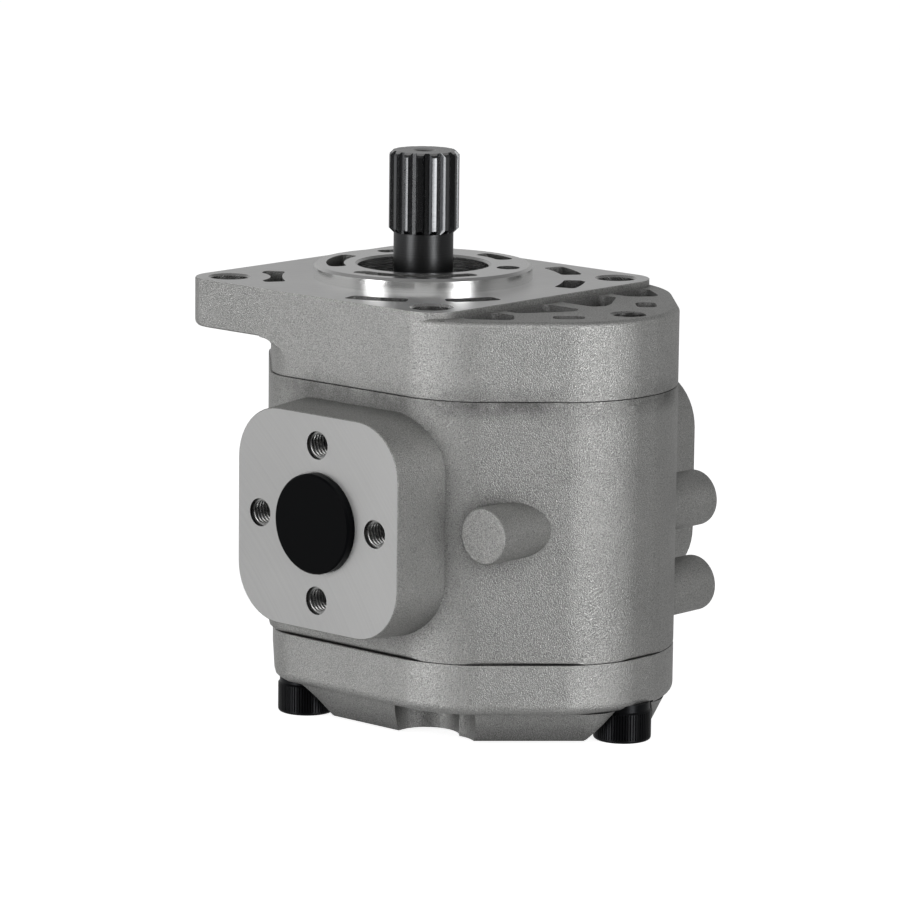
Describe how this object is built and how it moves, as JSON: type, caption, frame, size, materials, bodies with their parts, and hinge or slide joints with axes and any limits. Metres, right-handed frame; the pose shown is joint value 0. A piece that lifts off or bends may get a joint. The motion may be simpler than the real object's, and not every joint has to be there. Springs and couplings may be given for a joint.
{
  "type": "hydraulic gear pump",
  "caption": "External gear pump with a square pilot flange, a splined drive shaft, flanged side ports closed by transit plugs, and cast aluminium covers clamped by cap screws.",
  "frame": {"origin": "centre of the locating pilot, in the mounting face, on the drive shaft's axis", "axes": "+Z along the drive shaft out of the pump, +X from the drive gear to the driven gear, -Y out of the inlet port and +Y out of the outlet port"},
  "size_m": [0.1719, 0.168, 0.2028],
  "materials": {
    "cast_aluminium": "shot-blasted casting with machined faces",
    "block_aluminium": "machined",
    "shaft_steel": "ground and dark hardened",
    "pin_steel": "ground",
    "bush_bronze": "sintered bronze lining",
    "black_oxide": "black oxide",
    "seal_rubber": "moulded nitrile rubber",
    "strip_plastic": "cut strip",
    "plug_plastic": "moulded black polyethylene"
  },
  "bodies": {
    "housing": {"front_cover": "cast_aluminium", "gear_housing": "cast_aluminium", "rear_cover": "cast_aluminium", "front_bearing_block": "block_aluminium", "rear_bearing_block": "block_aluminium", "drive_front_bush": "bush_bronze", "drive_rear_bush": "bush_bronze", "driven_front_bush": "bush_bronze", "driven_rear_bush": "bush_bronze", "front_pressure_seal": "seal_rubber", "front_backup_strip": "strip_plastic", "rear_pressure_seal": "seal_rubber", "rear_backup_strip": "strip_plastic", "front_housing_seal": "seal_rubber", "rear_housing_seal": "seal_rubber", "shaft_seal_case": "pin_steel", "shaft_seal_lip": "seal_rubber", "seal_garter_spring": "pin_steel", "seal_retaining_ring": "black_oxide", "dowel_pins": "pin_steel", "cap_screws": "black_oxide"},
    "drive_shaft": {"drive_gear_shaft": "shaft_steel"},
    "driven_shaft": {"driven_gear_shaft": "shaft_steel"},
    "inlet_plug": {"inlet_plug": "plug_plastic"},
    "outlet_plug": {"outlet_plug": "plug_plastic"}
  },
  "joints": [
    {"name": "drive_spin", "type": "hinge", "parent": "housing", "child": "drive_shaft", "pos_m": [0, 0, 0], "axis": [0, 0, 1], "continuous": true},
    {"name": "driven_spin", "type": "hinge", "parent": "housing", "child": "driven_shaft", "pos_m": [0.049, 0, 0], "axis": [0, 0, 1], "continuous": true},
    {"name": "inlet_plug_pull", "type": "slide", "parent": "housing", "child": "inlet_plug", "axis": [0, -1, 0], "range_m": [0, 0.016]},
    {"name": "outlet_plug_pull", "type": "slide", "parent": "housing", "child": "outlet_plug", "axis": [0, 1, 0], "range_m": [0, 0.016]}
  ],
  "couplings": [
    {"joint": "driven_spin", "follows": "drive_spin", "ratio": -1}
  ]
}
